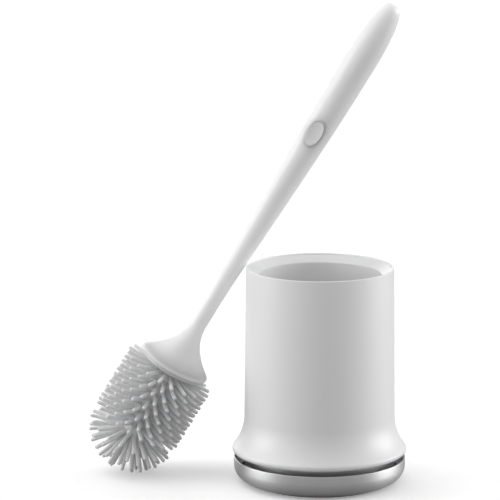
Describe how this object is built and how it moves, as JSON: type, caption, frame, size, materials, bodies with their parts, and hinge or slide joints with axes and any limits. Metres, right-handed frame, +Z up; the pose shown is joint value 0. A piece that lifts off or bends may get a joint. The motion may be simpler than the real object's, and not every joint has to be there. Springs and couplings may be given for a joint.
{
  "type": "toilet brush holder",
  "caption": "White flared cup on a brushed steel dish, with a long-handled round rubber-bristled brush leaning on its rim.",
  "frame": {"origin": "the cup's axis at floor level, on the underside of the non-slip pad", "axes": "+Z up along the cup's axis; the brush leans in the XZ plane, with its head at -X and its grip towards +X; -Y is the front, where the oval thumb pad faces"},
  "size_m": [0.2192, 0.1184, 0.3277],
  "materials": {
    "pad_rubber": "matte black non-slip pad",
    "dish_steel": "satin steel brushed round the dish",
    "ballast_iron": "plain blackened plate",
    "tray_grey": "dark grey moulded plastic",
    "band_steel": "bright rolled steel",
    "screw_steel": "bright stainless screws",
    "shell_white": "smooth satin white plastic",
    "liner_white": "smooth satin white plastic",
    "ring_white": "plain white moulded plastic",
    "grate_white": "plain white moulded plastic",
    "handle_white": "smooth satin white plastic",
    "thumb_white": "fine matte white plastic",
    "rod_steel": "plain steel rod",
    "bush_brass": "turned brass",
    "core_white": "plain white moulded plastic",
    "seal_rubber": "soft black rubber",
    "bristle_rubber": "light grey silicone rubber, satin"
  },
  "bodies": {
    "base": {"foot_pad": "pad_rubber", "base_dish": "dish_steel", "ballast_plate": "ballast_iron", "drip_tray": "tray_grey", "neck_band": "band_steel", "tray_screws": "screw_steel"},
    "cup": {"cup_shell": "shell_white", "cup_liner": "liner_white", "locating_ring": "ring_white", "cup_screws": "screw_steel"},
    "grate": {"drain_grate": "grate_white"},
    "brush": {"handle": "handle_white", "handle_rod": "rod_steel", "thumb_pad": "thumb_white", "collar_plate": "handle_white", "socket_bush": "bush_brass"},
    "head": {"head_core": "core_white", "locking_stud": "rod_steel", "stud_screw": "screw_steel", "seal_ring": "seal_rubber", "bristle_sleeve": "bristle_rubber"}
  },
  "joints": [
    {"name": "cup_lift", "type": "slide", "parent": "base", "child": "cup", "axis": [0, 0, 1], "range_m": [0, 0.12]},
    {"name": "grate_lift", "type": "slide", "parent": "cup", "child": "grate", "axis": [0, 0, 1], "range_m": [0, 0.126]},
    {"name": "brush_lift", "type": "slide", "parent": "cup", "child": "brush", "axis": [0, 0, 1], "range_m": [0, 0.25]},
    {"name": "head_twist", "type": "hinge", "parent": "brush", "child": "head", "pos_m": [-0.12799, 0, 0.032], "axis": [0.515, 0, 0.8572], "range_deg": [0, 90]}
  ]
}
